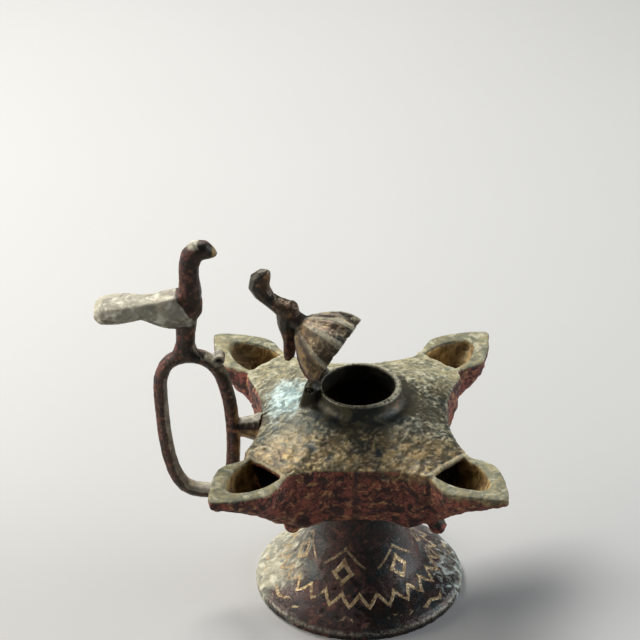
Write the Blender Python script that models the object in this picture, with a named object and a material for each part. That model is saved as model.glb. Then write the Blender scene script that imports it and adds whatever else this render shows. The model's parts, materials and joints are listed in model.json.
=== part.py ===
"""Cast copper alloy oil lamp: a four-spouted reservoir on a bell foot, a loop handle with a bird,
and a hinged fluted lid with a smaller bird.  Metres, +Z up, origin under the middle of the lamp."""

import math

import bmesh
import bpy
from mathutils import Matrix, Vector

MM = 0.001
GAP = 0.3 * MM  # left between pieces that touch
TOP = 89.0 * MM  # spout rims and the edge of the top plate

# The foot and the collar share one upright axis; the spouts are centred slightly to its left.
AXIS_AT = (26.05 * MM, -0.45 * MM, 0.0)
BODY_SHIFT = -2.5 * MM
SHIFT_FROM = 12.0  # radius at which the reservoir begins to lie to the left

# Foot: (radius, height) down the outer side, and the wall inside it.
FOOT_PROFILE = (
    (16.8, 51.7),
    (17.6, 42.0),
    (20.2, 31.0),
    (24.2, 22.0),
    (28.8, 15.5),
    (34.0, 11.2),
    (40.5, 8.0),
    (44.6, 5.6),
    (46.3, 3.2),
    (46.3, 0.0),
)
FOOT_WALL = 2.6 * MM
FOOT_RING = 41.4 * MM  # inner edge of the flat standing ring
FOOT_CROWN = 4.0 * MM  # metal over the hollow, at the neck
FOOT_BEVEL = 1.6 * MM  # height of the slope above the standing ring
CUT_BELOW = 4.0 * MM  # how far a hollow's cutter runs past the rim it opens through
FOOT_SIDES = 40

# Reservoir: radius at the middle of a side and at a corner, then the height of each.
BODY_STATIONS = (
    (12.0, 12.0, 98.6, 98.6),
    (21.0, 21.0, 97.4, 97.4),
    (30.5, 36.0, 93.6, 94.0),
    (38.0, 49.0, 90.2, 90.8),
    (40.6, 56.6, 88.4, 89.2),
    (41.0, 57.0, 85.6, 85.6),
    (39.8, 55.0, 77.0, 75.0),
    (36.6, 52.0, 66.0, 65.5),
    (31.8, 47.5, 57.6, 57.4),
    (25.6, 41.0, 52.8, 52.4),
    (18.5, 24.0, 51.4, 51.0),
    (16.6, 16.6, 52.0, 52.0),
)
BODY_SIDES = 56
OIL_SIDES = 40  # around the hollow
BODY_WALL = 2.6 * MM
SIDE_HALF = 40.5 * MM  # plan distance to the middle of a side
SIDE_CURL = 8.3 * MM  # how much further out a side's ends are
FRONT_SWELL = 3.0 * MM  # the front side stands out this much more
SIDE_REACH = 31.8 * MM  # half the length of a side
CORNER_CUT = 57.0 * MM  # plan distance to the straight corner edge

# Spouts: distance from the centre, half width and depth below the rim.
SPOUT_STATIONS = (
    (30.0, 10.6, 36.0),
    (44.0, 11.0, 36.4),
    (51.0, 11.0, 32.0),
    (56.0, 11.4, 27.4),
    (61.0, 13.0, 23.0),
    (66.0, 14.8, 19.2),
    (70.5, 14.9, 16.0),
    (75.0, 12.9, 13.0),
    (79.0, 10.6, 10.6),
    (83.0, 7.8, 8.4),
    (87.0, 4.6, 6.4),
    (90.4, 1.2, 4.4),
)
SPOUT_TURNS = (48.0, 133.6, 227.2, 315.0)  # the hand-set spouts don't lie quite on the diagonals
SPOUT_SIDES = 8
SPOUT_BULGE = 0.9  # below 1 makes the section fuller than a half ellipse
TROUGH_STATIONS = (
    (38.0, 8.4, 32.5),
    (50.0, 8.6, 29.0),
    (56.0, 9.0, 24.2),
    (56.2, 9.0, 24.0),
    (61.0, 9.2, 19.4),
    (66.0, 8.9, 14.8),
    (70.0, 7.8, 11.0),
    (74.0, 5.8, 7.4),
    (77.4, 3.2, 4.2),
    (79.0, 1.2, 2.2),
)
TROUGH_MOUTH = 56.1 * MM  # where the trough comes out from under the top plate
TUNNEL_TAPER = 0.3  # share of a tunnel's width lost at its roof, from each side
PLATE = 2.4 * MM  # thickness of the top plate at the spouts
OPEN_TOP = 12.0 * MM  # how far a cutter runs past a rim

KNOB_REACH = 31.5 * MM  # along X and along Y
KNOB_SIDES = 12
KNOB_ROWS = 6
KNOB_SHIFT = 1.7 * MM
KNOB_RADIUS = 4.2 * MM
KNOB_HEIGHT = 51.9 * MM

COLLAR_TOP = 104.6 * MM
COLLAR_PROFILE = ((17.9, 104.6), (18.1, 103.6), (18.2, 100.8), (19.0, 98.8), (21.6, 96.4), (21.6, 95.0))
COLLAR_SIDES = 32
BORE_RADIUS = 15.9 * MM
BORE_SHIFT = -1.0 * MM
BORE_FLOOR = 88.0 * MM

# Handle loop: middle line of the band, round once, then its half thickness and half width.
LOOP_PATH = (
    (-87.0, 103.0),
    (-86.3, 88.0),
    (-85.0, 74.0),
    (-82.2, 60.5),
    (-77.4, 51.6),
    (-69.6, 48.6),
    (-61.8, 49.4),
    (-57.2, 55.0),
    (-55.9, 64.0),
    (-55.6, 75.0),
    (-56.0, 86.0),
    (-57.2, 97.0),
    (-59.4, 106.0),
    (-62.2, 113.0),
    (-67.6, 118.0),
    (-75.6, 119.4),
    (-82.6, 116.4),
    (-86.0, 110.4),
)
LOOP_STEPS = 2  # rings between two points of the path
LOOP_THICK = 3.1 * MM
LOOP_WIDE = 4.1 * MM
BAND_SIDES = 10

# Straight members, from x, z, half thickness and half width.
STRUT_STATIONS = (
    (-57.0, 82.0, 3.8, 3.8),
    (-51.0, 82.2, 4.6, 4.2),
    (-46.0, 82.0, 6.4, 5.2),
    (-42.0, 81.6, 8.6, 6.6),
    (-36.0, 81.6, 9.0, 7.0),
)
POST_STATIONS = (
    (-75.6, 119.0, 7.4, 3.6),
    (-75.6, 122.0, 5.4, 4.0),
    (-75.6, 126.0, 4.2, 3.8),
    (-75.4, 131.0, 4.2, 4.0),
    (-75.0, 138.0, 5.0, 4.6),
)
ROLLER_AT = (-61.2, 118.2)
ROLLER_RADIUS = 2.6 * MM
ROLLER_HALF = 3.0 * MM

# Handle bird.  Body: x, then half width and height of the back, of the widest edge and of the belly.
BIRD_BODY = (
    (-114.4, 3.6, 144.4, 5.4, 142.4, 4.4, 140.2),
    (-111.6, 5.8, 146.4, 8.6, 142.8, 7.2, 139.2),
    (-105.0, 6.4, 147.4, 9.8, 143.4, 8.0, 139.6),
    (-98.0, 5.6, 147.8, 8.6, 144.2, 6.6, 140.2),
    (-94.0, 4.4, 148.0, 7.0, 144.4, 5.0, 140.4),
    (-89.0, 4.0, 148.8, 7.4, 143.0, 5.4, 138.2),
    (-83.5, 4.6, 150.4, 8.4, 142.2, 5.8, 136.6),
    (-77.0, 4.4, 151.8, 7.8, 142.6, 5.0, 135.8),
    (-71.0, 3.4, 150.6, 5.4, 143.6, 3.2, 138.0),
    (-67.9, 1.6, 148.4, 2.6, 145.0, 1.6, 142.0),
)
BIRD_NECK = (
    (-75.0, 139.0, 3.6, 4.2),
    (-73.6, 146.0, 5.0, 5.0),
    (-73.0, 152.0, 5.2, 5.0),
    (-73.4, 158.5, 4.6, 4.6),
    (-73.5, 164.5, 4.5, 4.4),
    (-72.2, 169.6, 5.0, 4.5),
    (-69.6, 172.6, 5.1, 4.6),
    (-66.6, 172.6, 4.6, 4.2),
    (-63.6, 171.2, 3.0, 2.8),
    (-61.4, 170.2, 1.2, 1.1),
)
NECK_SIDES = 10

# Hinge: the pin's middle, its turn about +Z from +Y and its rise toward the back.
HINGE_AT = (-19.6, 5.0, 106.8)
HINGE_TURN = math.radians(14.5)
HINGE_RISE = math.radians(12.0)
LID_OPEN = math.radians(61.0)
PIN_RADIUS = 1.1 * MM
PIN_SPAN = (-11.2, 9.4)
PIN_OVERRUN = 4.0  # how far a pin hole's cutter runs past the pin
KNUCKLE_RADIUS = 2.4 * MM
KNUCKLE_BORE = 1.45 * MM
KNUCKLE_SPAN = (-6.2, 5.4)
LUG_SPANS = ((-10.8, -6.6), (5.8, 9.0))
LUG_RADIUS = 2.7 * MM
LUG_FOOT = 5.4 * MM
LUG_DROP = 12.0 * MM
LUG_ARC = 8  # faces round the top of a lug
LUG_BACK = 0.6  # a lug's foot toward the collar, as a share of LUG_FOOT
LUG_LEAN = 4.0 * MM  # how much further forward the front lug's foot stands
PIN_SIDES = 16

# Lid, closed: rim centre, then (radius, height) up the outer side and up the inside.
LID_AT = (-1.2, 0.0, 104.9)
LID_PROFILE = (
    (17.5, 0.0),
    (17.6, 2.0),
    (17.0, 5.4),
    (15.4, 9.0),
    (12.8, 12.4),
    (9.6, 15.8),
    (6.6, 18.6),
    (3.6, 20.4),
)
LID_TOP = 21.0 * MM
LID_HOLLOW = ((15.7, 0.0), (15.2, 3.4), (13.4, 7.4), (10.0, 11.6), (6.0, 15.2))
LID_HOLLOW_TOP = 16.6 * MM
LID_SIDES = 40
LID_CROWN = 1.0  # radius of the little disc that closes the top
TONGUE_OUTLINE = ((-0.6, -1.6), (5.2, -1.0), (5.2, 4.6), (-0.6, 2.2))
TONGUE_INSET = 0.6  # how far the strap stops short of the knuckle's ends
FLUTES = 10
FLUTE_DEPTH = 0.10  # share of the radius lost in the valley of a flute

# Lid bird, in the lid's own frame: x away from the hinge, z above the rim.
FINIAL_BODY = (
    (-21.4, 15.4, 1.6, 2.2),
    (-18.8, 16.0, 2.5, 3.2),
    (-15.6, 17.6, 2.6, 3.6),
    (-11.6, 19.8, 2.5, 3.6),
    (-8.0, 22.2, 3.2, 3.8),
    (-4.4, 24.8, 4.3, 4.4),
    (-0.2, 26.8, 5.1, 4.9),
    (4.0, 27.6, 4.5, 4.2),
    (7.4, 27.4, 2.3, 2.2),
)
FINIAL_NECK = (
    (2.2, 25.0, 4.4, 4.2),
    (1.9, 29.5, 4.7, 4.2),
    (1.3, 33.5, 3.8, 3.6),
    (1.0, 37.5, 3.5, 3.2),
    (1.8, 41.0, 4.4, 3.8),
    (3.6, 44.0, 5.0, 4.3),
    (7.0, 45.2, 4.7, 4.0),
    (11.0, 45.0, 3.4, 3.0),
    (14.0, 44.4, 1.3, 1.3),
)
FINIAL_STEM = ((1.0, 17.0, 4.6, 4.6), (1.0, 20.5, 3.9, 3.9), (0.6, 25.0, 3.8, 3.8))


def clear_scene():
    for item in list(bpy.data.objects):
        bpy.data.objects.remove(item, do_unlink=True)


def metal(name, colour, roughness):
    finish = bpy.data.materials.new(name)
    finish.use_nodes = True
    shader = finish.node_tree.nodes["Principled BSDF"]
    shader.inputs["Base Color"].default_value = (*colour, 1.0)
    shader.inputs["Metallic"].default_value = 0.75
    shader.inputs["Roughness"].default_value = roughness
    return finish


def place(name, shape, finish=None, parent=None):
    """A named object from a bmesh, with outward faces and smooth shading."""
    bmesh.ops.recalc_face_normals(shape, faces=shape.faces)
    mesh = bpy.data.meshes.new(name)
    shape.to_mesh(mesh)
    shape.free()
    mesh.shade_smooth()
    mesh.set_sharp_from_angle(angle=math.radians(40.0))
    item = bpy.data.objects.new(name, mesh)
    bpy.context.scene.collection.objects.link(item)
    item.parent = parent
    if finish:
        mesh.materials.append(finish)
    return item


def empty(name, frame):
    item = bpy.data.objects.new(name, None)
    bpy.context.scene.collection.objects.link(item)
    item.matrix_world = frame
    return item


def helper(name, shape, parent):
    """A hidden shape that a Boolean joins to or cuts from a piece."""
    item = place(name, shape, parent=parent)
    item.hide_render = True
    item.display_type = "WIRE"
    return item


def boolean(item, other, operation):
    change = item.modifiers.new(other.name, "BOOLEAN")
    change.operation = operation
    change.solver = "EXACT"
    change.object = other


def skin(rings):
    """A closed bmesh over rings of equally many points, with a fan over each end."""
    shape = bmesh.new()
    rows = [[shape.verts.new(point) for point in ring] for ring in rings]
    count = len(rows[0])
    for lower, upper in zip(rows, rows[1:]):
        for i in range(count):
            j = (i + 1) % count
            shape.faces.new((lower[i], lower[j], upper[j], upper[i]))
    for row in (rows[0], rows[-1]):
        middle = shape.verts.new(sum((corner.co for corner in row), Vector()) / count)
        for i in range(count):
            shape.faces.new((row[i], row[(i + 1) % count], middle))
    return shape


def hoop(rings):
    """A closed bmesh over rings that run round and meet again, as a band does."""
    shape = bmesh.new()
    rows = [[shape.verts.new(point) for point in ring] for ring in rings]
    count = len(rows[0])
    for lower, upper in zip(rows, rows[1:] + rows[:1]):
        for i in range(count):
            j = (i + 1) % count
            shape.faces.new((lower[i], lower[j], upper[j], upper[i]))
    return shape


def turned(profile, sides, shift=0.0):
    """Rings of a shape turned about the upright axis, from (radius, height) in millimetres."""
    rings = []
    for radius, height in profile:
        angles = [math.tau * i / sides for i in range(sides)]
        rings.append([
            Vector((shift + radius * MM * math.cos(a), radius * MM * math.sin(a), height * MM))
            for a in angles
        ])
    return rings


def swept(stations, sides):
    """Rings square to a path in the X-Z plane, from (x, z, half thickness, half width)."""
    centres = [Vector((x, 0.0, z)) * MM for x, z, _, _ in stations]
    rings = []
    for i, (_, _, thick, wide) in enumerate(stations):
        before = centres[max(i - 1, 0)]
        after = centres[min(i + 1, len(centres) - 1)]
        along = (after - before).normalized()
        across = along.cross(Vector((0.0, 1.0, 0.0)))
        rings.append(oval(centres[i], across * thick * MM, Vector((0.0, wide * MM, 0.0)), sides))
    return rings


def oval(centre, first, second, sides):
    angles = [math.tau * i / sides for i in range(sides)]
    return [centre + first * math.cos(a) + second * math.sin(a) for a in angles]


def faceted(stations):
    """Six-sided rings across X: back, widest edge and belly, mirrored in Y."""
    rings = []
    for x, back, back_z, edge, edge_z, belly, belly_z in stations:
        half = [(back, back_z), (edge, edge_z), (belly, belly_z)]
        outline = [(-y, z) for y, z in half] + [(y, z) for y, z in reversed(half)]
        rings.append([Vector((x, y, z)) * MM for y, z in outline])
    return rings


def rounded(points, steps):
    """Points along a closed Catmull-Rom curve through the given ones."""
    path = []
    count = len(points)
    for i in range(count):
        p0, p1, p2, p3 = (Vector(points[(i + k - 1) % count]) for k in range(4))
        for step in range(steps):
            t = step / steps
            path.append(0.5 * (2 * p1 + (p2 - p0) * t + (2 * p0 - 5 * p1 + 4 * p2 - p3) * t * t
                               + (3 * p1 - p0 - 3 * p2 + p3) * t ** 3))
    return path


def side_radius(angle):
    """Plan radius of the top plate, an arched-in square with straight-cut corners."""
    off = abs((angle + math.pi / 4) % (math.pi / 2) - math.pi / 4)
    curl = SIDE_CURL / SIDE_REACH ** 2
    inside = math.cos(off) ** 2 - 4 * curl * SIDE_HALF * math.sin(off) ** 2
    corner = CORNER_CUT / math.cos(math.pi / 4 - off)
    if inside <= 0:
        return corner
    swell = FRONT_SWELL * max(0.0, -math.sin(angle)) ** 12
    return min(corner, swell + 2 * SIDE_HALF / (math.cos(off) + math.sqrt(inside)))


def body_rings(stations, sides=BODY_SIDES):
    """Rings of the reservoir, each between a circle and the plan of the top plate."""
    rings = []
    widest = max(side for side, _, _, _ in stations)
    for side, corner, side_z, corner_z in stations:
        shift = BODY_SHIFT * min(1.0, max(0.0, (side - SHIFT_FROM) / (widest - SHIFT_FROM)))
        ring = []
        for i in range(sides):
            angle = math.tau * i / sides
            share = (side_radius(angle) - SIDE_HALF) / (CORNER_CUT - SIDE_HALF)
            lobe = math.sin(2 * angle) ** 2
            radius = (side + (corner - side) * share) * MM
            height = (side_z + (corner_z - side_z) * lobe) * MM
            ring.append(Vector((shift + radius * math.cos(angle), radius * math.sin(angle), height)))
        rings.append(ring)
    return rings


def inset(profile, wall):
    """A profile moved inward by a wall, square to its own line."""
    moved = []
    for i, point in enumerate(profile):
        before = Vector(profile[max(i - 1, 0)])
        after = Vector(profile[min(i + 1, len(profile) - 1)])
        along = (after - before).normalized()
        moved.append(Vector(point) + Vector((along.y, -along.x)) * wall)
    return moved


def offset_stations(stations, wall):
    """The stations with both their profiles moved inward, or outward by a negative wall."""
    side = inset([(s, z) for s, _, z, _ in stations], wall)
    corner = inset([(c, z) for _, c, _, z in stations], wall)
    return [(s.x, c.x, s.y, c.y) for s, c in zip(side, corner)]


def spout_rings(stations, turn):
    """U-shaped rings along one spout, flat at the rim."""
    outward = Vector((math.cos(turn), math.sin(turn), 0.0))
    sideways = Vector((-math.sin(turn), math.cos(turn), 0.0))
    rings = []
    for reach, half, depth in stations:
        centre = outward * reach * MM + Vector((BODY_SHIFT, 0.0, TOP))
        ring = []
        for i in range(SPOUT_SIDES + 1):
            angle = math.pi * i / SPOUT_SIDES
            drop = depth * MM * math.sin(angle) ** SPOUT_BULGE if 0 < i < SPOUT_SIDES else 0.0
            ring.append(centre + sideways * half * MM * math.cos(angle) - Vector((0.0, 0.0, drop)))
        rings.append(ring)
    return rings


def trough_rings(turn):
    """The room inside a spout: a tunnel under the top plate that comes out as an open channel."""
    rings = spout_rings(TROUGH_STATIONS, turn)
    for (reach, _, _), ring in zip(TROUGH_STATIONS, rings):
        under = reach < TROUGH_MOUTH / MM
        top = TOP - PLATE if under else TOP + OPEN_TOP
        first, last = ring[0].copy(), ring[-1].copy()
        for point in ring:
            point.z = min(point.z, top)
        inward = TUNNEL_TAPER if under else 0.0
        ring += [last.lerp(first, inward), first.lerp(last, inward)]
        ring[-2].z = ring[-1].z = top
    return rings


def lug_shape(span, lean):
    """A lug in the hinge's frame: round over the pin, widening down to its foot."""
    arc = [math.pi * i / LUG_ARC for i in range(LUG_ARC + 1)]
    outline = [(LUG_RADIUS * math.cos(a), LUG_RADIUS * math.sin(a), 0.0) for a in arc]
    outline += [(-LUG_FOOT, -LUG_DROP, lean), (LUG_BACK * LUG_FOOT, -LUG_DROP, lean)]
    front, back = span
    return skin([
        [Vector((x, front * MM - forward, z)) for x, z, forward in outline],
        [Vector((x, back * MM, z)) for x, z, _ in outline],
    ])


def rod_along_pin(span, radius):
    return skin([
        oval(Vector((0.0, y * MM, 0.0)), Vector((radius, 0.0, 0.0)), Vector((0.0, 0.0, radius)), PIN_SIDES)
        for y in span
    ])


def pin_cutter():
    return rod_along_pin((PIN_SPAN[0] - PIN_OVERRUN, PIN_SPAN[1] + PIN_OVERRUN), KNUCKLE_BORE)


def hinge_frame():
    """Where the pin is and how it lies: local +Y along the pin, local +X toward the collar."""
    at = Matrix.Translation(Vector(HINGE_AT) * MM)
    return at @ Matrix.Rotation(-HINGE_TURN, 4, "Z") @ Matrix.Rotation(HINGE_RISE, 4, "X")


def build_foot(parent):
    outer = turned(FOOT_PROFILE, FOOT_SIDES)
    foot = place("foot", skin(outer), metal("foot_bronze", (0.10, 0.08, 0.05), 0.35), parent)
    wall = FOOT_WALL / MM
    inner = [(point.x, point.y) for point in inset(FOOT_PROFILE, wall)][1:-2]
    inner[0] = (inner[0][0], FOOT_PROFILE[0][1] - FOOT_CROWN / MM)
    inner += [(FOOT_RING / MM, FOOT_BEVEL / MM), (FOOT_RING / MM, -CUT_BELOW / MM)]
    boolean(foot, helper("foot_hollow", skin(turned(inner, FOOT_SIDES)), parent), "DIFFERENCE")
    return foot


def build_reservoir(parent):
    body = place("reservoir", skin(body_rings(BODY_STATIONS)),
                 metal("reservoir_bronze", (0.30, 0.25, 0.16), 0.6), parent)
    for i, degrees in enumerate(SPOUT_TURNS):
        turn = math.radians(degrees)
        spout = helper(f"spout_{i}", skin(spout_rings(SPOUT_STATIONS, turn)), parent)
        boolean(body, spout, "UNION")
        knob = bmesh.new()
        bmesh.ops.create_uvsphere(knob, u_segments=KNOB_SIDES, v_segments=KNOB_ROWS, radius=KNOB_RADIUS)
        side, depth = math.copysign(KNOB_REACH, math.cos(turn)), math.copysign(KNOB_REACH, math.sin(turn))
        knob_at = Vector((KNOB_SHIFT + side, depth, KNOB_HEIGHT))
        bmesh.ops.translate(knob, verts=knob.verts, vec=knob_at)
        boolean(body, helper(f"knob_{i}", knob, parent), "UNION")
    boolean(body, helper("collar", skin(turned(COLLAR_PROFILE, COLLAR_SIDES)), parent), "UNION")
    for i, (span, lean) in enumerate(zip(LUG_SPANS, (LUG_LEAN, 0.0))):
        lug = lug_shape(span, lean)
        bmesh.ops.transform(lug, matrix=hinge_frame(), verts=lug.verts)
        boolean(body, helper(f"lug_{i}", lug, parent), "UNION")

    inner = offset_stations(BODY_STATIONS[1:-1], BODY_WALL / MM)
    boolean(body, helper("oil_space", skin(body_rings(inner, OIL_SIDES)), parent), "DIFFERENCE")
    for i, degrees in enumerate(SPOUT_TURNS):
        trough = helper(f"trough_{i}", skin(trough_rings(math.radians(degrees))), parent)
        boolean(body, trough, "DIFFERENCE")
    bore_radius = BORE_RADIUS / MM
    bore_ends = ((bore_radius, (COLLAR_TOP + OPEN_TOP) / MM), (bore_radius, BORE_FLOOR / MM))
    boolean(body, helper("bore", skin(turned(bore_ends, COLLAR_SIDES, BORE_SHIFT)), parent), "DIFFERENCE")
    pin_hole = pin_cutter()
    bmesh.ops.transform(pin_hole, matrix=hinge_frame(), verts=pin_hole.verts)
    boolean(body, helper("lug_holes", pin_hole, parent), "DIFFERENCE")
    return body


def build_handle(parent):
    path = rounded(LOOP_PATH, LOOP_STEPS)
    rings = []
    for i, point in enumerate(path):
        along = path[(i + 1) % len(path)] - path[i - 1]
        across = Vector((along.y, 0.0, -along.x)).normalized()
        centre = Vector((point.x, 0.0, point.y)) * MM
        rings.append(oval(centre, across * LOOP_THICK, Vector((0.0, LOOP_WIDE, 0.0)), BAND_SIDES))
    handle = place("handle", hoop(rings), metal("handle_bronze", (0.16, 0.09, 0.05), 0.5), parent)
    for name, stations in (("strut", STRUT_STATIONS), ("post", POST_STATIONS), ("bird_neck", BIRD_NECK)):
        boolean(handle, helper(name, skin(swept(stations, NECK_SIDES)), parent), "UNION")
    boolean(handle, helper("bird_body", skin(faceted(BIRD_BODY)), parent), "UNION")
    ends = [Vector((ROLLER_AT[0] * MM, y, ROLLER_AT[1] * MM)) for y in (-ROLLER_HALF, ROLLER_HALF)]
    across, up = Vector((ROLLER_RADIUS, 0.0, 0.0)), Vector((0.0, 0.0, ROLLER_RADIUS))
    roller = skin([oval(end, across, up, NECK_SIDES) for end in ends])
    boolean(handle, helper("roller", roller, parent), "UNION")
    grown = helper("body_clearance", skin(body_rings(offset_stations(BODY_STATIONS, -GAP / MM))), parent)
    boolean(handle, grown, "DIFFERENCE")
    return handle


def fluted(profile, sides):
    """Turned rings whose radius dips between the ribs, less so toward the crown."""
    rings = turned(profile, sides)
    for ring in rings:
        for i, point in enumerate(ring):
            valley = 1.0 - abs(math.cos(FLUTES * math.pi * i / sides))
            point.x *= 1.0 - FLUTE_DEPTH * valley
            point.y *= 1.0 - FLUTE_DEPTH * valley
    return rings


def build_lid(parent, to_hinge):
    """The lid is shaped closed, above its own rim centre, then carried into the hinge's frame."""
    lid_shape = skin(fluted(LID_PROFILE + ((LID_CROWN, LID_TOP / MM),), LID_SIDES))
    mouth = ((LID_HOLLOW[0][0], -CUT_BELOW / MM),)
    hollow_shape = skin(turned(mouth + LID_HOLLOW + ((LID_CROWN, LID_HOLLOW_TOP / MM),), LID_SIDES))
    parts = [skin(swept(stations, NECK_SIDES)) for stations in (FINIAL_BODY, FINIAL_NECK, FINIAL_STEM)]
    for shape in [lid_shape, hollow_shape] + parts:
        bmesh.ops.transform(shape, matrix=to_hinge, verts=shape.verts)
    lid = place("lid", lid_shape, metal("lid_bronze", (0.26, 0.20, 0.11), 0.55), parent)
    for i, shape in enumerate(parts):
        boolean(lid, helper(f"finial_{i}", shape, parent), "UNION")
    boolean(lid, helper("knuckle", rod_along_pin(KNUCKLE_SPAN, KNUCKLE_RADIUS), parent), "UNION")
    boolean(lid, helper("tongue", tongue(), parent), "UNION")
    boolean(lid, helper("lid_hollow", hollow_shape, parent), "DIFFERENCE")
    boolean(lid, helper("knuckle_hole", pin_cutter(), parent), "DIFFERENCE")
    return lid


def tongue():
    """The strap from the knuckle into the lid's flank."""
    ends = (KNUCKLE_SPAN[0] + TONGUE_INSET, KNUCKLE_SPAN[1] - TONGUE_INSET)
    return skin([[Vector((x, y, z)) * MM for x, z in TONGUE_OUTLINE] for y in ends])


def main():
    clear_scene()
    to_lamp = Matrix.Translation(AXIS_AT)
    lamp = empty("lamp_axis", to_lamp)
    build_foot(lamp)
    build_reservoir(lamp)
    build_handle(lamp)
    hinge = empty("lid_hinge", to_lamp @ hinge_frame())
    pin_shape = rod_along_pin(PIN_SPAN, PIN_RADIUS)
    place("hinge_pin", pin_shape, metal("pin_bronze", (0.12, 0.08, 0.05), 0.5), hinge)

    swing = empty("lid_swing", to_lamp @ hinge_frame() @ Matrix.Rotation(-LID_OPEN, 4, "Y"))
    facing = Matrix.Rotation(-HINGE_TURN, 4, "Z")
    build_lid(swing, hinge_frame().inverted() @ Matrix.Translation(Vector(LID_AT) * MM) @ facing)


main()
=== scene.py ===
"""Looks of a cast copper alloy oil lamp: fine cast surfaces, patina, inlay, floor, light and camera."""

import json
import math

import bmesh
import bpy
import numpy as np
from mathutils import Matrix, Vector, noise


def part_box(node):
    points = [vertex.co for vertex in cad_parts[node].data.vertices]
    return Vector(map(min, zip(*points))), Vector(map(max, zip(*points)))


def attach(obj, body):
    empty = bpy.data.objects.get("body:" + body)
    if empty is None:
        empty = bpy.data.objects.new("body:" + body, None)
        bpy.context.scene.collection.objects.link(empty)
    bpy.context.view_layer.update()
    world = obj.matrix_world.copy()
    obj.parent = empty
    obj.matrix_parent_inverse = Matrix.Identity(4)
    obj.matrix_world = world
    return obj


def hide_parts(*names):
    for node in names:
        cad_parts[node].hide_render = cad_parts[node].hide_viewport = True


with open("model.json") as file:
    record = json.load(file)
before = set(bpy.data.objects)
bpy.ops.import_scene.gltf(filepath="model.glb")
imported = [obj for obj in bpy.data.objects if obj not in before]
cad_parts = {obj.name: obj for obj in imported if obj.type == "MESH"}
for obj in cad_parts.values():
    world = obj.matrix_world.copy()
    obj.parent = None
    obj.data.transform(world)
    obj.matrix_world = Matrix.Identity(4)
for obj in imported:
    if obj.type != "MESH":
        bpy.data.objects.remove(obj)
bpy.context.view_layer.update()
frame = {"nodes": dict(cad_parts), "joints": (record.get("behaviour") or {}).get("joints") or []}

MM = 0.001
MERGE = 0.02 * MM  # corners of the frame's triangles closer than this are one corner

# Grain of each fine mesh.
RESERVOIR_GRAIN = 0.88 * MM
FOOT_GRAIN = 0.62 * MM
HANDLE_GRAIN = 0.50 * MM
LID_GRAIN = 0.42 * MM

# Places on the lamp, in millimetres.
foot_low, foot_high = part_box("foot")
AXIS_X = (foot_low.x + foot_high.x) / 2 / MM
AXIS_Y = (foot_low.y + foot_high.y) / 2 / MM
BODY_X = AXIS_X - 2.5
RIM_Z = 89.0  # spout rims and the edge of the top plate
COLLAR_Z = 104.6
COLLAR_R = 18.0
BORE_R = 15.9
SPOUT_TURNS = (48.0, 133.6, 227.2, 315.0)

# Foot inlay: a zigzag of 25 teeth, six diamonds under chevrons, and a broken lower band.
TEETH = 25
TOOTH_PHASE = math.radians(-97.6)
ZIGZAG_LOW = 35.7 * MM
ZIGZAG_HIGH = 30.9 * MM
DIAMONDS = 6
DIAMOND_PHASE = math.radians(-107.1)

hinge = next(joint for joint in frame["joints"] if joint["name"] == "lid_hinge")
HINGE_AT = Vector(hinge["pos_m"])
HINGE_ALONG = Vector(hinge["axis"]).normalized()
LID_SHUT = math.radians(61.0)
LID_TURN = math.radians(-14.5)
LID_RIM = Vector((AXIS_X - 1.2, AXIS_Y, 104.9)) * MM
FLUTES = 10
PIN_HALF = 10.3 * MM
PIN_R = 1.1 * MM

# The handle's roller and the spots that the patina and a painted highlight are laid from, in millimetres from
# the lamp's axis.
ROLLER_X = -61.2
ROLLER_Z = 118.2
KNOB_REACH = 45.0
SPOUT_START = 55.8  # where the plate ends over a spout, along it
BLUISH_HIGHLIGHT_X = -6.0
SEAM_X = 24.0
CAMERA_AT = (-17.63, -1266.8, 943.0)
CAMERA_TURN = 57.55


# ---------------------------------------------------------------- fine meshes

def settle(piece):
    """Bakes the piece's modifiers into its mesh."""
    graph = bpy.context.evaluated_depsgraph_get()
    settled = bpy.data.meshes.new_from_object(piece.evaluated_get(graph))
    piece.modifiers.clear()
    piece.data = settled


def fine_copy(node, name, grain, rounds):
    """A closed, even mesh over a frame node's shape, fine enough to take relief."""
    mesh = frame["nodes"][node].data.copy()
    shape = bmesh.new()
    shape.from_mesh(mesh)
    bmesh.ops.remove_doubles(shape, verts=shape.verts, dist=MERGE)
    shape.to_mesh(mesh)
    shape.free()
    mesh.materials.clear()
    piece = bpy.data.objects.new(name, mesh)
    bpy.context.scene.collection.objects.link(piece)
    even = piece.modifiers.new("even", "REMESH")
    even.mode = "VOXEL"
    even.voxel_size = grain
    soften = piece.modifiers.new("soften", "SMOOTH")
    soften.factor = 0.5
    soften.iterations = rounds
    settle(piece)
    return piece


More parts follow.
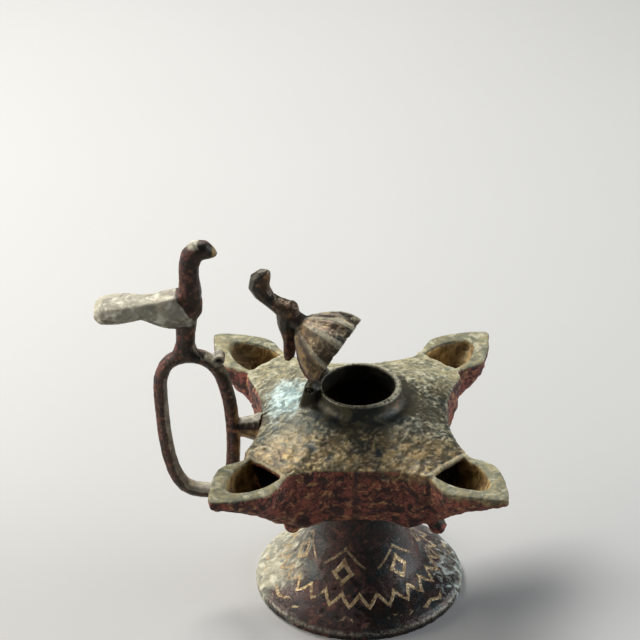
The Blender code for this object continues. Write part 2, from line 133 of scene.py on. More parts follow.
class Surface:
    """The points of a piece's mesh as arrays, in millimetres, with what is worked out from them."""

    def __init__(self, piece):
        self.mesh = piece.data
        self.count = len(self.mesh.vertices)
        self.read()
        edges = np.empty(len(self.mesh.edges) * 2, np.int32)
        self.mesh.edges.foreach_get("vertices", edges)
        self.ends = edges.reshape(-1, 2)
        self.degree = np.bincount(self.ends.ravel(), minlength=self.count)

    def read(self):
        flat = np.empty(self.count * 3, np.float32)
        self.mesh.vertices.foreach_get("co", flat)
        self.at = flat.reshape(-1, 3).astype(float) / MM
        self.mesh.vertex_normals.foreach_get("vector", flat)
        self.out = flat.reshape(-1, 3).astype(float)

    def write(self):
        self.mesh.vertices.foreach_set("co", (self.at * MM).astype(np.float32).ravel())
        self.mesh.update()
        self.read()

    def push(self, amount):
        """Moves each point along its normal, in millimetres."""
        self.at += self.out * np.asarray(amount)[:, None]
        self.write()

    def spread(self, values, rounds):
        """The values averaged over neighbours."""
        first, second = self.ends.T
        for _ in range(rounds):
            total = np.bincount(first, values[second], self.count)
            total += np.bincount(second, values[first], self.count)
            values = 0.5 * values + 0.5 * total / self.degree
        return values

    def relax(self, share, rounds):
        """Draws points towards their neighbours, by a share for each point."""
        for _ in range(rounds):
            for i in range(3):
                self.at[:, i] += share * (self.spread(self.at[:, i], 1) - self.at[:, i])

    def bulge(self, rounds):
        """How far each point stands out from its neighbourhood, in millimetres."""
        smooth = np.stack([self.spread(self.at[:, i], rounds) for i in range(3)], axis=1)
        return ((self.at - smooth) * self.out).sum(axis=1)

    def grain(self, size, octaves=4, offset=0.0):
        """Fractal noise about 0, of about -1 to 1."""
        scaled = self.at * (1 / size) + offset
        return np.array([noise.fractal(Vector(p), 0.9, 2.1, octaves) for p in scaled])

    def ridges(self, size, offset=0.0):
        """Creased noise of about 0 to 1, with narrow crests."""
        scaled = self.at / size + offset
        return 1 - 2 * np.abs(np.array([noise.noise(Vector(p)) for p in scaled]))

    def store(self, name, values):
        layer = self.mesh.attributes.new(name, "FLOAT", "POINT")
        layer.data.foreach_set("value", np.clip(values, 0, 1).astype(np.float32))


def ramp(values, low, high):
    """A smooth step from 0 at low to 1 at high."""
    share = np.clip((np.asarray(values) - low) / (high - low), 0, 1)
    return share * share * (3 - 2 * share)


def near(distance, reach):
    """1 at no distance, falling smoothly to 0 at the reach."""
    return 1 - ramp(np.abs(distance), 0, reach)


# ---------------------------------------------------------------- materials

class Finish:
    """A material, with short calls for its nodes."""

    def __init__(self, name):
        self.material = bpy.data.materials.new(name)
        self.material.use_nodes = True
        self.tree = self.material.node_tree
        self.tree.nodes.clear()
        self.place = self.node("TexCoord").outputs["Object"]

    def node(self, kind, inputs=None, **settings):
        made = self.tree.nodes.new("ShaderNode" + kind)
        for key, value in settings.items():
            setattr(made, key, value)
        for key, value in (inputs or {}).items():
            if isinstance(value, bpy.types.NodeSocket):
                self.tree.links.new(value, made.inputs[key])
            else:
                made.inputs[key].default_value = value
        return made

    def sum(self, operation, *values):
        return self.node("Math", dict(enumerate(values)), operation=operation).outputs[0]

    def noise(self, size, detail=4.0, rough=0.55, warp=0.0, offset=0.0):
        place = self.place
        if offset:
            place = self.node("Mapping", {"Vector": place, "Location": (offset, offset, offset)}).outputs[0]
        inputs = {"Vector": place, "Scale": 1 / size, "Detail": detail, "Roughness": rough, "Distortion": warp}
        return self.node("TexNoise", inputs).outputs["Fac"]

    def read(self, name):
        return self.node("Attribute", attribute_name=name).outputs["Fac"]

    def step(self, field, low, high, bottom=0.0, top=1.0):
        inputs = {"Value": field, "From Min": low, "From Max": high, "To Min": bottom, "To Max": top}
        return self.node("MapRange", inputs, interpolation_type="SMOOTHSTEP").outputs[0]

    def mix(self, share, first, second):
        made = self.node("Mix", data_type="RGBA")
        sockets = (made.inputs["Factor"], made.inputs[6], made.inputs[7])
        for socket, value in zip(sockets, (share, first, second)):
            if isinstance(value, bpy.types.NodeSocket):
                self.tree.links.new(value, socket)
            elif isinstance(value, tuple):
                socket.default_value = (*value, 1.0)
            else:
                socket.default_value = value
        return made.outputs[2]

    def bump(self, height, depth, normal=None):
        inputs = {"Height": height, "Distance": depth}
        if normal:
            inputs["Normal"] = normal
        return self.node("Bump", inputs).outputs[0]

    def close(self, colour, roughness, normal, metal, specular=0.5):
        shader = self.node("BsdfPrincipled", {
            "Base Color": colour, "Roughness": roughness, "Normal": normal,
            "Metallic": metal, "Specular IOR Level": specular,
        })
        self.node("OutputMaterial", {"Surface": shader.outputs[0]})
        return self.material


def patina(name, ground, deep, red_oxide_and_reflection, crust_and_highlight, gloss, inlay=None):
    """Cast copper alloy under its corrosion: bare patina, red copper oxide with a painted red reflection, pale
    crust with painted highlights, and dirt with painted shade.
    """
    made = Finish(name)
    broad = made.noise(12 * MM, 4.0, 0.6, 0.6)
    middle = made.noise(4.2 * MM, 6.0, 0.58, 0.7, offset=0.3)
    patchy = made.noise(6.5 * MM, 5.0, 0.55, 1.2, offset=3.1)
    small = made.noise(1.2 * MM, 5.0, 0.6, 0.3, offset=0.7)
    tiny = made.noise(0.42 * MM, 4.0, 0.6, 0.0, offset=1.3)

    def about(field, gain):
        """The field centred on nought and stretched."""
        return made.sum("MULTIPLY_ADD", field, gain, -gain / 2)

    def web(field, width):
        """1 along the thin, branching lines where the field crosses its middle."""
        return made.step(made.sum("ABSOLUTE", about(field, 1.0)), width, 0.15 * width)

    colour = made.mix(made.step(broad, 0.40, 0.62), ground, deep)
    colour = made.mix(made.step(patchy, 0.50, 0.66, 0.0, 0.6), colour, tuple(2.4 * c for c in ground))

    # The red layer is copper oxide and also a painted reflection of red surroundings.
    red_oxide_and_reflection_share = made.step(made.sum("ADD", made.read("red_oxide_and_reflection"), about(middle, 1.3)), 0.38, 0.62)
    red_oxide_and_reflection_colour = made.mix(made.step(patchy, 0.42, 0.54), red_oxide_and_reflection[0], red_oxide_and_reflection[1])
    gold = made.sum("ADD", made.sum("MULTIPLY", middle, 0.6), made.sum("MULTIPLY", small, 0.4))
    red_oxide_and_reflection_colour = made.mix(made.step(gold, 0.53, 0.60, 0.0, 0.9), red_oxide_and_reflection_colour, red_oxide_and_reflection[2])
    veins = made.sum("MULTIPLY", web(middle, 0.045), 0.9)
    red_oxide_and_reflection_colour = made.mix(veins, red_oxide_and_reflection_colour, tuple(0.25 * c for c in red_oxide_and_reflection[0]))
    red_oxide_and_reflection_colour = made.mix(made.step(patchy, 0.475, 0.40), red_oxide_and_reflection_colour, tuple(0.35 * c for c in red_oxide_and_reflection[0]))
    colour = made.mix(red_oxide_and_reflection_share, colour, red_oxide_and_reflection_colour)

    # The pale layer is crust and also painted highlights and painted reflections of the lamps.
    crust_and_highlight_field = made.sum("ADD", made.read("crust_and_highlight"), about(broad, 0.8))
    crust_and_highlight_field = made.sum("ADD", crust_and_highlight_field, about(middle, 1.0))
    crust_and_highlight_field = made.sum("ADD", crust_and_highlight_field, about(small, 0.35))
    crust_and_highlight_share = made.step(crust_and_highlight_field, 0.26, 0.78)
    crust_and_highlight_colour = made.mix(made.step(patchy, 0.40, 0.60), crust_and_highlight[0], crust_and_highlight[1])
    crust_and_highlight_colour = made.mix(made.step(middle, 0.50, 0.66, 0.0, 0.75), crust_and_highlight_colour, crust_and_highlight[2])
    crust_and_highlight_colour = made.mix(made.step(small, 0.46, 0.32, 0.0, 0.35), crust_and_highlight_colour, deep)
    colour = made.mix(crust_and_highlight_share, colour, crust_and_highlight_colour)

    # The ochre layer is ochre staining, and on the handle also a painted lit side.
    ochre_and_lit_side_share = made.step(made.sum("ADD", made.read("ochre_and_lit_side"), about(middle, 1.0)), 0.25, 0.75)
    ochre_and_lit_side = made.mix(made.step(patchy, 0.38, 0.60), (0.15, 0.085, 0.028), (0.40, 0.27, 0.10))
    ochre_and_lit_side = made.mix(made.step(small, 0.45, 0.32, 0.0, 0.6), ochre_and_lit_side, (0.05, 0.03, 0.014))
    colour = made.mix(ochre_and_lit_side_share, colour, ochre_and_lit_side)

    # The bluish-white layer is partly bloom and partly painted highlight and painted reflection.
    bloom_and_highlight_share = made.step(made.sum("ADD", made.read("bloom_and_highlight"), about(middle, 1.2)), 0.35, 0.80, 0.0, 0.85)
    bloom_and_highlight = made.mix(made.step(middle, 0.45, 0.62), (0.17, 0.26, 0.26), (0.50, 0.62, 0.60))
    bloom_and_highlight = made.mix(made.step(small, 0.46, 0.34, 0.0, 0.5), bloom_and_highlight, deep)
    colour = made.mix(bloom_and_highlight_share, colour, bloom_and_highlight)

    # The dark layer is dirt and also painted shade in hollows, recesses and under overhangs.
    dirt_and_shade = made.sum("MULTIPLY", made.read("dirt_and_shade"), made.step(small, 0.25, 0.6, 0.55, 1.0))
    colour = made.mix(dirt_and_shade, colour, (0.010, 0.009, 0.007))
    # The pale rub is wear and also painted highlights on crests.
    wear_and_highlight = made.sum("MULTIPLY", made.read("wear_and_highlight"), made.step(small, 0.35, 0.6))
    colour = made.mix(wear_and_highlight, colour, crust_and_highlight[2])

    height = made.sum("MULTIPLY_ADD", small, 0.6, made.sum("MULTIPLY", tiny, 0.4))
    crusted = made.sum("MAXIMUM", crust_and_highlight_share, red_oxide_and_reflection_share)
    roughness = made.step(made.sum("MULTIPLY_ADD", crusted, 0.6, made.sum("MULTIPLY", small, 0.4)),
                          0.1, 0.9, gloss, 0.78)
    if inlay:
        share, tint = inlay(made, small)
        colour = made.mix(share, colour, tint)
        height = made.sum("MULTIPLY_ADD", share, 0.5, height)
    rough_normal = made.bump(made.step(crust_and_highlight_field, 0.3, 0.8), 0.22 * MM)
    normal = made.bump(height, 0.34 * MM, rough_normal)
    metal = made.step(crusted, 0.0, 1.0, 0.55, 0.05)
    return made.close(colour, roughness, normal, metal)


def foot_inlay(made, breakup):
    """Worn strokes of pale metal: zigzag, diamonds under chevrons, and scraps of a lower band."""
    shift = (-AXIS_X * MM, -AXIS_Y * MM, 0)
    centred = made.node("Mapping", {"Vector": made.place, "Location": shift}).outputs[0]
    axes = made.node("SeparateXYZ", {"Vector": centred}).outputs
    square = made.sum("MULTIPLY_ADD", axes[0], axes[0], made.sum("MULTIPLY", axes[1], axes[1]))
    radius = made.sum("SQRT", square)
    angle = made.sum("ARCTAN2", axes[1], axes[0])
    wobble = made.sum("MULTIPLY_ADD", made.noise(9 * MM, 2.0, offset=2.1), 1.6 * MM, -0.8 * MM)
    reach = made.sum("ADD", radius, wobble)

    def around(count, phase):
        """0 at each repeat, rising to 0.5 half way to the next."""
        turns = made.sum("MULTIPLY_ADD", angle, count / math.tau, -count * phase / math.tau)
        return made.sum("PINGPONG", turns, 0.5)

    def line(distance, half):
        return made.step(made.sum("ABSOLUTE", distance), half * 1.25, half * 0.75)

    tooth = around(TEETH, TOOTH_PHASE)
    centre = made.sum("MULTIPLY_ADD", tooth, -2 * (ZIGZAG_LOW - ZIGZAG_HIGH), ZIGZAG_LOW)
    zigzag = line(made.sum("SUBTRACT", reach, centre), 1.05 * MM)
    repeat = around(DIAMONDS, DIAMOND_PHASE)
    across = made.sum("MULTIPLY", repeat, 60.0 / 11.5)
    up = made.sum("DIVIDE", made.sum("ABSOLUTE", made.sum("SUBTRACT", reach, 25.4 * MM)), 3.2 * MM)
    diamond = line(made.sum("SUBTRACT", made.sum("ADD", across, up), 0.80), 0.24)
    chevron_at = made.sum("MULTIPLY_ADD", repeat, 9.2 * MM, 20.6 * MM)
    chevron = line(made.sum("SUBTRACT", reach, chevron_at), 0.34 * MM)
    chevron = made.sum("MULTIPLY", chevron, made.step(repeat, 0.43, 0.36, 0.0, 0.6))
    lower = line(made.sum("SUBTRACT", reach, made.sum("MULTIPLY_ADD", tooth, 3.4 * MM, 40.6 * MM)), 0.7 * MM)
    lower = made.sum("MULTIPLY", lower, made.step(made.noise(7 * MM, 2.0, offset=5.0), 0.50, 0.60, 0.0, 0.8))

    # Here the mask is wear alone: where the inlay's strokes survive rubbing.
    wear_and_highlight = made.step(made.noise(6 * MM, 4.0, 0.6, offset=3.3), 0.36, 0.48, 0.12, 1.0)
    marks = made.sum("MAXIMUM", made.sum("MAXIMUM", zigzag, diamond), made.sum("MAXIMUM", chevron, lower))
    share = made.sum("MULTIPLY", made.sum("MULTIPLY", marks, wear_and_highlight), made.step(breakup, 0.28, 0.5, 0.35, 0.95))
    outside = made.read("outside")
    share = made.sum("MULTIPLY", share, outside)
    return share, made.mix(made.step(breakup, 0.4, 0.65), (0.30, 0.19, 0.09), (0.52, 0.42, 0.24))


# ---------------------------------------------------------------- pieces

def finish_piece(piece, body, node, material):
    piece.data.materials.append(material)
    piece.data.shade_smooth()
    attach(piece, body)
    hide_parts(node)
    return piece


def make_reservoir():
    piece = fine_copy("reservoir", "reservoir_cast", RESERVOIR_GRAIN, 2)
    skin = Surface(piece)
    x, y, z = skin.at[:, 0] - BODY_X, skin.at[:, 1] - AXIS_Y, skin.at[:, 2]
    reach = np.hypot(x, y)
    collar = np.hypot(skin.at[:, 0] - AXIS_X, y)
    outward = (skin.out[:, 0] * x + skin.out[:, 1] * y) / np.maximum(reach, 1)
    up = skin.out[:, 2]

    along, side = np.full(len(x), -99.0), np.zeros(len(x))
    for degrees in SPOUT_TURNS:
        turn = math.radians(degrees)
        run = x * math.cos(turn) + y * math.sin(turn)
        side = np.where(run > along, y * math.cos(turn) - x * math.sin(turn), side)
        along = np.maximum(along, run)
    toward = np.zeros(len(x))
    for degrees in SPOUT_TURNS:
        turn = math.radians(degrees)
        mine = np.abs(x * math.cos(turn) + y * math.sin(turn) - along) < 1e-6
        lean = skin.out[:, 1] * math.cos(turn) - skin.out[:, 0] * math.sin(turn)
        toward = np.where(mine, lean * np.sign(side), toward)

    in_spout = ramp(along, 52, 57) * ramp(RIM_Z - z, 0.3, 1.2)
    trough = in_spout * np.maximum(ramp(up, 0.05, 0.4), ramp(-toward, 0.1, 0.5)) * ramp(86 - along, 0, 4)
    inside = (ramp(84 - z, 0, 3) * ramp(up, 0.1, 0.4) + ramp(z - 82, 0, 2) * ramp(-up, 0.1, 0.4)
              + ramp(-outward, 0.1, 0.4)) * ramp(52 - along, 0, 3) * ramp(z, 50, 54)
    inside = np.clip(np.maximum(inside, ramp(BORE_R + 1.2 - collar, 0, 0.8) * ramp(z, 84, 88)), 0, 1)
    inside *= 1 - trough
    top = ramp(up, 0.35, 0.7) * ramp(z, 86, 89) * (1 - inside) * (1 - trough)
    lip = top * ramp(along, 56.5, 58.5)
    plate = top - lip
    wall = (1 - top) * (1 - inside) * (1 - trough) * ramp(92 - z, 0, 4)
    at_x = skin.at[:, 0]

    # Chased, worn lines over the top plate, and a lumpy corroded wall and underside.
    drift = skin.grain(10, 4)
    lines = np.sin(math.tau * (0.6 * np.abs(x) + 0.8 * np.abs(y) + 5.5 * drift) / 3.8)
    lines *= ramp(skin.grain(8, 3, 7.0), -0.2, 0.5)
    lump = skin.grain(4.0, 4, 3.0)
    crease = skin.ridges(4.6, 11.0)
    away = ramp(collar, 21, 26)
    relief = plate * away * (0.26 * lines + 0.42 * lump)
    relief += wall * (0.55 * skin.grain(7.0, 4, 1.0) + 0.45 * (crease - 0.6))
    relief += lip * 0.22 * lump + trough * 0.10 * lump
    relief += 0.5 * near(along - SPOUT_START, 1.8) * plate  # the plate's corners end in a raised edge
    relief += 0.5 * near(z - 88, 3.0) * wall * ramp(54 - along, 0, 4) * skin.grain(5.5, 3, 9.0)
    seat = near(reach, 19) * ramp(54 - z, 0, 2)
    skin.push(relief * (1 - seat))
    # The knobs run into the body instead of hanging from it.
    knobs = ramp(6 - np.abs(reach - KNOB_REACH), 0, 3) * ramp(60 - z, 0, 3) * wall
    skin.relax(knobs, 14)
    edges = near(z - RIM_Z, 3.4) * (1 - inside) * (1 - plate) + lip * near(along - 58, 2) + lip
    edges = np.clip(edges, 0, 1)
    skin.relax(0.8 * edges, 9)
    skin.write()

    bulge = skin.bulge(3)
    crest = ramp(bulge, 0.00, 0.10)
    hollow = ramp(-bulge, 0.01, 0.10)
    rim = near(collar - (COLLAR_R + BORE_R) / 2 + 0.4, 2.2) * ramp(z, COLLAR_Z - 1.2, COLLAR_Z - 0.4)
    around_collar = ramp(27 - collar, 0, 6) * ramp(z, 92, 94) * (1 - inside)
    # A painted bluish highlight on the plate's left, near the handle.
    painted_highlight_patch = near(np.hypot(at_x - BLUISH_HIGHLIGHT_X, (y - 6) / 1.6), 19) * plate
    front = ramp(-y, 16, 34) * plate
    back = ramp(y, 4, 30) * plate
    edge = near(z - RIM_Z + 0.6, 2.4) * (1 - top) * ramp(along, 52, 60)
    corner = near(along - SPOUT_START, 2.2) * plate
    spill = wall * ramp(z, 79, 87) * ramp(-y, 20, 30) * ramp(at_x, 18, 40)
    tip = trough * ramp(along, 62, 76)
    seam = near(at_x - SEAM_X - 1.2 * skin.grain(5, 3, 21.0), 2.6) * ramp(-y, 20, 30) * wall
    # Pale crust on the plate, with painted highlights on the relief's crests and painted light making the back
    # paler than the front; the ring round the collar gets painted shade.
    skin.store("crust_and_highlight", plate * (0.34 + 0.16 * crest + 0.34 * back - 0.10 * front)
               + 0.80 * lip + 0.9 * rim + 0.70 * tip
               + 0.45 * edge + 0.5 * corner + 0.40 * spill - 0.9 * around_collar)
    # Red-brown on the wall below the rim is copper oxide and also a painted reflection of red surroundings.
    skin.store("red_oxide_and_reflection", 0.95 * wall * ramp(90 - z, 0, 2)
               + 0.24 * front + 0.35 * around_collar * ramp(at_x, 30, 44))
    skin.store("ochre_and_lit_side", 0.95 * trough - 0.3 * tip + 0.34 * front * (0.6 + 0.4 * crest) + 0.45 * spill
               + 0.22 * plate * ramp(-y, -10, 20)
               + 0.25 * lip * ramp(skin.grain(5, 3, 41.0), 0.0, 0.3))
    # Bluish-white here: the painted highlight patch, painted light over the plate's left half, and a little on
    # the lips.
    skin.store("bloom_and_highlight", 0.66 * painted_highlight_patch + 0.16 * plate * ramp(-at_x, -24, 6) + 0.12 * lip)
    # Dark: painted shade inside the body and bore, in the relief's hollows, round the collar's foot, in the
    # spout troughs under the plate's corners and just under the plate's edge; real dirt on the lips, the seam
    # and the lower wall.
    skin.store("dirt_and_shade", 0.75 * inside + 0.34 * hollow * (1 - trough) + 0.35 * around_collar * (1 - rim)
               + 0.75 * trough * ramp(60 - along, 0, 6) + 0.5 * wall * ramp(crease, 0.80, 0.95) * ramp(z, 50, 60)
               + 0.30 * lip * ramp(skin.grain(3, 4, 51.0), 0.05, 0.3) + 0.8 * seam
               + 0.6 * near(z - 86, 2.6) * wall * ramp(skin.grain(9, 3, 31.0), 0.0, 0.3))
    # Pale rub on the collar rim and plate corners, and painted highlights on the relief's crests.
    skin.store("wear_and_highlight", 0.6 * rim + 0.35 * crest * plate + 0.3 * corner)
    skin.store("outside", 1 - inside)
    material = patina("corroded_reservoir", (0.075, 0.064, 0.036), (0.022, 0.030, 0.028),
                      ((0.080, 0.017, 0.011), (0.26, 0.070, 0.042), (0.42, 0.23, 0.09)),
                      ((0.15, 0.155, 0.10), (0.29, 0.25, 0.13), (0.50, 0.47, 0.33)), 0.38)
    return finish_piece(piece, "lamp", "reservoir", material)


def make_foot():
    piece = fine_copy("foot", "bell_foot", FOOT_GRAIN, 3)
    skin = Surface(piece)
    x, y, z = skin.at[:, 0] - AXIS_X, skin.at[:, 1] - AXIS_Y, skin.at[:, 2]
    radius = np.hypot(x, y)
    outward = (skin.out[:, 0] * x + skin.out[:, 1] * y) / np.maximum(radius, 0.1)
    outside = ramp(outward + 0.8 * skin.out[:, 2], -0.1, 0.25)
    standing = ramp(1.2 - z, 0, 1)
    skin.push((1 - standing) * (0.16 * skin.grain(11, 3) + 0.05 * skin.grain(3, 3, 5.0)))
    skin.at[:, 2] += 0.8 * ramp(skin.at[:, 2], 47, 51)  # the solder line closes against the reservoir
    skin.at[:, 2] = np.maximum(skin.at[:, 2], 0.0)
    skin.write()
    turn = np.arctan2(y, x)
    left = ramp(-x, 10, 36)
    right = ramp(x, 20, 40)
    skin.store("outside", outside)
    # Pale flanks left and right are partly crust and partly painted reflections of the side lights.
    skin.store("crust_and_highlight", outside * (0.78 * left * ramp(y + 34, 0, 26) + 0.50 * right * ramp(y + 34, 0, 26))
               + 0.2 * (1 - outside))
    # Red-brown in broad turns round the foot: copper oxide and partly a painted reflection of red surroundings.
    skin.store("red_oxide_and_reflection", 0.42 * outside * ramp(np.sin(3 * turn + 1.0), -0.4, 0.8) + 0.15)
    # Blue-grey on the right flank is a painted reflection of the cool right light; also a blue-grey patch low on
    # the left rim.
    skin.store("bloom_and_highlight", outside * (0.50 * right * ramp(y + 34, 0, 20)
                                   + 0.35 * near(turn + 2.35, 0.5) * ramp(9 - z, 0, 4)))
    # Painted shade inside the bell and towards the top, under the reservoir.
    skin.store("dirt_and_shade", 0.7 * (1 - outside) + 0.5 * ramp(z, 40, 50))
    skin.store("wear_and_highlight", 0.3 * outside * near(z - 3.2, 1.6))
    skin.store("ochre_and_lit_side", 0 * z)
    material = patina("glossy_foot", (0.030, 0.016, 0.012), (0.012, 0.017, 0.017),
                      ((0.030, 0.010, 0.008), (0.075, 0.023, 0.016), (0.11, 0.045, 0.028)),
                      ((0.26, 0.26, 0.20), (0.42, 0.39, 0.28), (0.66, 0.62, 0.48)), 0.24, foot_inlay)
    return finish_piece(piece, "lamp", "foot", material)


def make_handle():
    piece = fine_copy("handle", "loop_handle_with_bird", HANDLE_GRAIN, 3)
    skin = Surface(piece)
    skin.push(0.10 * skin.grain(6, 4) + 0.04 * skin.grain(1.8, 3, 4.0))
    x, y, z = skin.at[:, 0] - AXIS_X, skin.at[:, 1] - AXIS_Y, skin.at[:, 2]
    skin.at[:, 0] += 0.9 * ramp(x, -44, -39)  # the solder line closes against the reservoir
    pivot = np.hypot(x - ROLLER_X, z - ROLLER_Z)
    skin.at[:, 1] += 1.1 * np.sign(-y) * near(pivot, 1.7) * ramp(np.abs(y), 1.8, 2.6)
    skin.relax(ramp(z, 134, 140), 12)  # the bird's facets
    skin.at[:, 0] = np.maximum(skin.at[:, 0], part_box("handle")[0].x / MM)  # the tail keeps within the frame
    skin.write()
    up, right = skin.out[:, 2], skin.out[:, 0]
    bird = ramp(z, 135, 138)
    neck_line = x + 79 + 0.68 * (z - 152)
    back = bird * ramp(-neck_line, -0.4, 1.6)
    bulge = skin.bulge(5)
    crest = ramp(bulge, 0.02, 0.16)
    left_limb = ramp(-72 - x, 0, 5) * ramp(112 - z, 0, 6)
    inner = ramp(right, 0.2, 0.8) * left_limb
    low = ramp(56 - z, 0, 5) * ramp(up, -0.1, 0.6)
    crown = bird * ramp(z, 172.5, 175.5) * ramp(-67.5 - x, 0, 3)
    beak = bird * ramp(x, -64.5, -62.5) * ramp(z, 167, 169)
    ring = near(pivot - 2.2, 1.0) * ramp(np.abs(y), 1.8, 2.6)
    strut = ramp(x, -56, -52) * ramp(96 - z, 0, 4)
    shoulder = ramp(x, -72, -64) * near(z - 116, 9) * ramp(up, 0.0, 0.7)
    # Pale on up-facing and right-facing sides is painted light from above and the right, over crust on the
    # bird's back, crown, ring and strut.
    skin.store("crust_and_highlight", back * (0.62 + 0.38 * ramp(up, -0.2, 0.6)) + 0.55 * inner + 0.85 * low + 0.75 * crown
               + 0.7 * ring + 0.75 * strut * ramp(up, 0.35, 0.8) + 0.6 * shoulder + 0.35 * beak
               + 0.30 * (1 - bird) * ramp(right, 0.1, 0.8) + 0.2 * (1 - bird) * ramp(up, 0.2, 0.8))
    # Red on left-facing sides is a painted reflection of red surroundings, over a base of copper oxide.
    skin.store("red_oxide_and_reflection", 0.46 - 0.30 * back + 0.25 * bird * (1 - back) * ramp(-right, -0.2, 0.5)
               + 0.3 * ramp(-right, 0.3, 0.9) * (1 - bird))
    # Ochre on right-facing sides is a painted lit side; the rest is ochre staining.
    skin.store("ochre_and_lit_side", 0.30 * (1 - bird) * ramp(right, 0.0, 0.7) + 0.75 * beak
               + 0.55 * strut * ramp(0.5 - up, 0, 0.5) + 0.25 * low + 0.3 * shoulder)
    skin.store("bloom_and_highlight", 0.26 * back)
    # Painted shade in the hollows, on the bird's flanks and belly, and in the roller's dimple.
    skin.store("dirt_and_shade", 0.55 * ramp(-bulge, 0.02, 0.15) + 0.25 * bird * (1 - back) * (1 - crown)
               + 0.9 * near(pivot, 1.3))
    # Painted highlights on the crests, strongest along the bird's back, with some wear.
    skin.store("wear_and_highlight", 0.75 * crest * (0.25 + 0.75 * back))
    skin.store("outside", 1 + 0 * z)
    material = patina("maroon_handle", (0.050, 0.027, 0.016), (0.018, 0.017, 0.013),
                      ((0.050, 0.013, 0.009), (0.12, 0.034, 0.020), (0.20, 0.085, 0.04)),
                      ((0.24, 0.22, 0.17), (0.38, 0.35, 0.26), (0.64, 0.61, 0.50)), 0.32)
    return finish_piece(piece, "lamp", "handle", material)


def make_lid():
    piece = fine_copy("lid", "fluted_lid_with_bird", LID_GRAIN, 2)
    skin = Surface(piece)
    skin.push(0.09 * skin.grain(5, 4) + 0.05 * skin.grain(1.6, 3, 4.0))
    closing = Matrix.Rotation(LID_SHUT, 4, HINGE_ALONG)
    shut = Matrix.Translation(HINGE_AT) @ closing @ Matrix.Translation(-HINGE_AT)
    own = (Matrix.Rotation(-LID_TURN, 4, "Z") @ Matrix.Translation(-LID_RIM) @ shut)
    turned = skin.at * MM @ np.array(own.to_3x3()).T + np.array(own.translation)
    x, y, z = (turned / MM).T
    radius = np.hypot(x, y)
    cap = ramp(20.5 - z, 0, 2) * ramp(radius, 3, 6)
    ribs = cap * ramp(np.abs(np.cos(FLUTES / 2 * np.arctan2(y, x))), 0.86, 0.99)
    band = ramp(1.8 - z, 0, 0.8) * ramp(radius, 12, 15)
    bulge = skin.bulge(4)
    upper = ramp(x, -1, 9)
    lower = ramp(-x, 3, 9)
    middle = (1 - upper) * (1 - lower)
    bird = 1 - cap
    # Pale on the rib crests and on the bird's up-facing sides is painted highlight over crust; pale crust on the
    # upper cap.
    skin.store("crust_and_highlight", cap * (0.36 * upper + 0.24 * middle + (0.20 + 0.30 * upper + 0.16 * lower) * ribs)
               + 0.30 * bird * ramp(skin.out[:, 2], 0.2, 0.8))
    skin.store("red_oxide_and_reflection", 0.30 + cap * (0.5 * lower + 0.15 * middle) + 0.1 * bird)
    skin.store("ochre_and_lit_side", cap * (0.46 * middle + 0.30 * upper) + 0.25 * bird)
    skin.store("bloom_and_highlight", 0.12 * upper * cap)
    # Painted shade in the hollows and along the rim's edge.
    skin.store("dirt_and_shade", 0.6 * ramp(-bulge, 0.02, 0.15) + 0.6 * band * (1 - 0.6 * upper))
    # Painted highlights on the crests and ribs, with some wear.
    skin.store("wear_and_highlight", 0.45 * ramp(bulge, 0.03, 0.15) * (0.3 + 0.7 * upper) + 0.2 * ribs)
    skin.store("outside", 1 + 0 * z)
    material = patina("golden_brown_lid", (0.055, 0.036, 0.020), (0.026, 0.024, 0.018),
                      ((0.045, 0.016, 0.010), (0.12, 0.042, 0.022), (0.24, 0.11, 0.05)),
                      ((0.12, 0.115, 0.08), (0.24, 0.21, 0.13), (0.50, 0.47, 0.36)), 0.34)
    return finish_piece(piece, "lid", "lid", material)


def make_pin():
    """The hinge pin, with its two ends hammered round."""
    low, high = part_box("hinge_pin")
    middle = (low + high) / 2
    shape = bmesh.new()
    bmesh.ops.create_cone(shape, cap_ends=True, segments=20, radius1=PIN_R, radius2=PIN_R,
                          depth=2 * PIN_HALF)
    ends = [face for face in shape.faces if len(face.verts) > 4]
    rims = [edge for face in ends for edge in face.edges]
    bmesh.ops.bevel(shape, geom=rims, offset=0.45 * MM, affect="EDGES", segments=3, profile=0.5, material=-1)
    turn = Vector((0, 0, 1)).rotation_difference(HINGE_ALONG).to_matrix().to_4x4()
    bmesh.ops.transform(shape, matrix=Matrix.Translation(middle) @ turn, verts=shape.verts)
    mesh = bpy.data.meshes.new("hammered_pin")
    shape.to_mesh(mesh)
    shape.free()
    piece = bpy.data.objects.new("hammered_pin", mesh)
    bpy.context.scene.collection.objects.link(piece)
    material = patina("dark_pin", (0.05, 0.03, 0.018), (0.02, 0.018, 0.014),
                      ((0.05, 0.016, 0.010), (0.12, 0.04, 0.022), (0.22, 0.10, 0.04)),
                      ((0.2, 0.17, 0.11), (0.3, 0.26, 0.17), (0.5, 0.46, 0.36)), 0.40)
    return finish_piece(piece, "lamp", "hinge_pin", material)


# ---------------------------------------------------------------- floor, light and camera

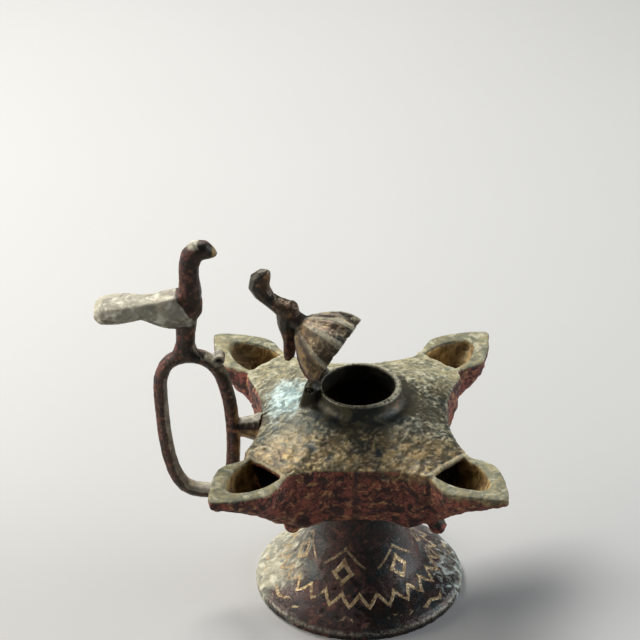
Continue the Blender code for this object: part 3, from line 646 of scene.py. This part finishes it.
def make_floor():
    shape = bmesh.new()
    bmesh.ops.create_grid(shape, x_segments=2, y_segments=2, size=6.0)
    mesh = bpy.data.meshes.new("floor")
    shape.to_mesh(mesh)
    shape.free()
    floor = bpy.data.objects.new("floor", mesh)
    bpy.context.scene.collection.objects.link(floor)
    made = Finish("pale_floor")
    tone = made.mix(made.noise(0.4, 3.0), (0.42, 0.42, 0.41), (0.46, 0.46, 0.45))
    shader = made.node("BsdfPrincipled", {"Base Color": tone, "Roughness": 0.9, "Specular IOR Level": 0.1})
    made.node("OutputMaterial", {"Surface": shader.outputs[0]})
    mesh.materials.append(made.material)


def soft_box(name, place, target, size, watts, colour):
    data = bpy.data.lights.new(name, "AREA")
    data.shape = "RECTANGLE"
    data.size, data.size_y = size
    data.energy = watts
    data.color = colour
    lamp = bpy.data.objects.new(name, data)
    bpy.context.scene.collection.objects.link(lamp)
    lamp.location = place
    lamp.rotation_euler = (Vector(target) - Vector(place)).to_track_quat("-Z", "Y").to_euler()


def make_light():
    middle = (0.0, 0.0, 0.09)
    soft_box("top_light", (-0.35, 0.55, 0.85), middle, (0.45, 0.35), 15.0, (1.0, 0.985, 0.96))
    soft_box("left_light", (-0.95, 0.05, 0.35), middle, (0.5, 0.5), 8.0, (1.0, 0.96, 0.88))
    soft_box("right_light", (0.95, 0.05, 0.35), middle, (0.5, 0.5), 6.0, (0.90, 0.95, 1.0))
    world = bpy.data.worlds.new("studio")
    bpy.context.scene.world = world
    world.use_nodes = True
    background = world.node_tree.nodes["Background"]
    background.inputs["Color"].default_value = (0.9, 0.93, 1.0, 1.0)
    background.inputs["Strength"].default_value = 0.16
    bpy.context.scene.view_settings.view_transform = "Standard"


def make_camera():
    """Level, square to X, looking down at 32 degrees from well back."""
    data = bpy.data.cameras.new("camera")
    data.sensor_width = 36.0
    data.lens = 196.875
    camera = bpy.data.objects.new("camera", data)
    camera.location = Vector((AXIS_X + CAMERA_AT[0], AXIS_Y + CAMERA_AT[1], CAMERA_AT[2])) * MM
    camera.rotation_euler = (math.radians(CAMERA_TURN), 0.0, 0.0)
    bpy.context.scene.collection.objects.link(camera)
    bpy.context.scene.camera = camera


make_reservoir()
make_foot()
make_handle()
make_lid()
make_pin()
make_floor()
make_light()
make_camera()
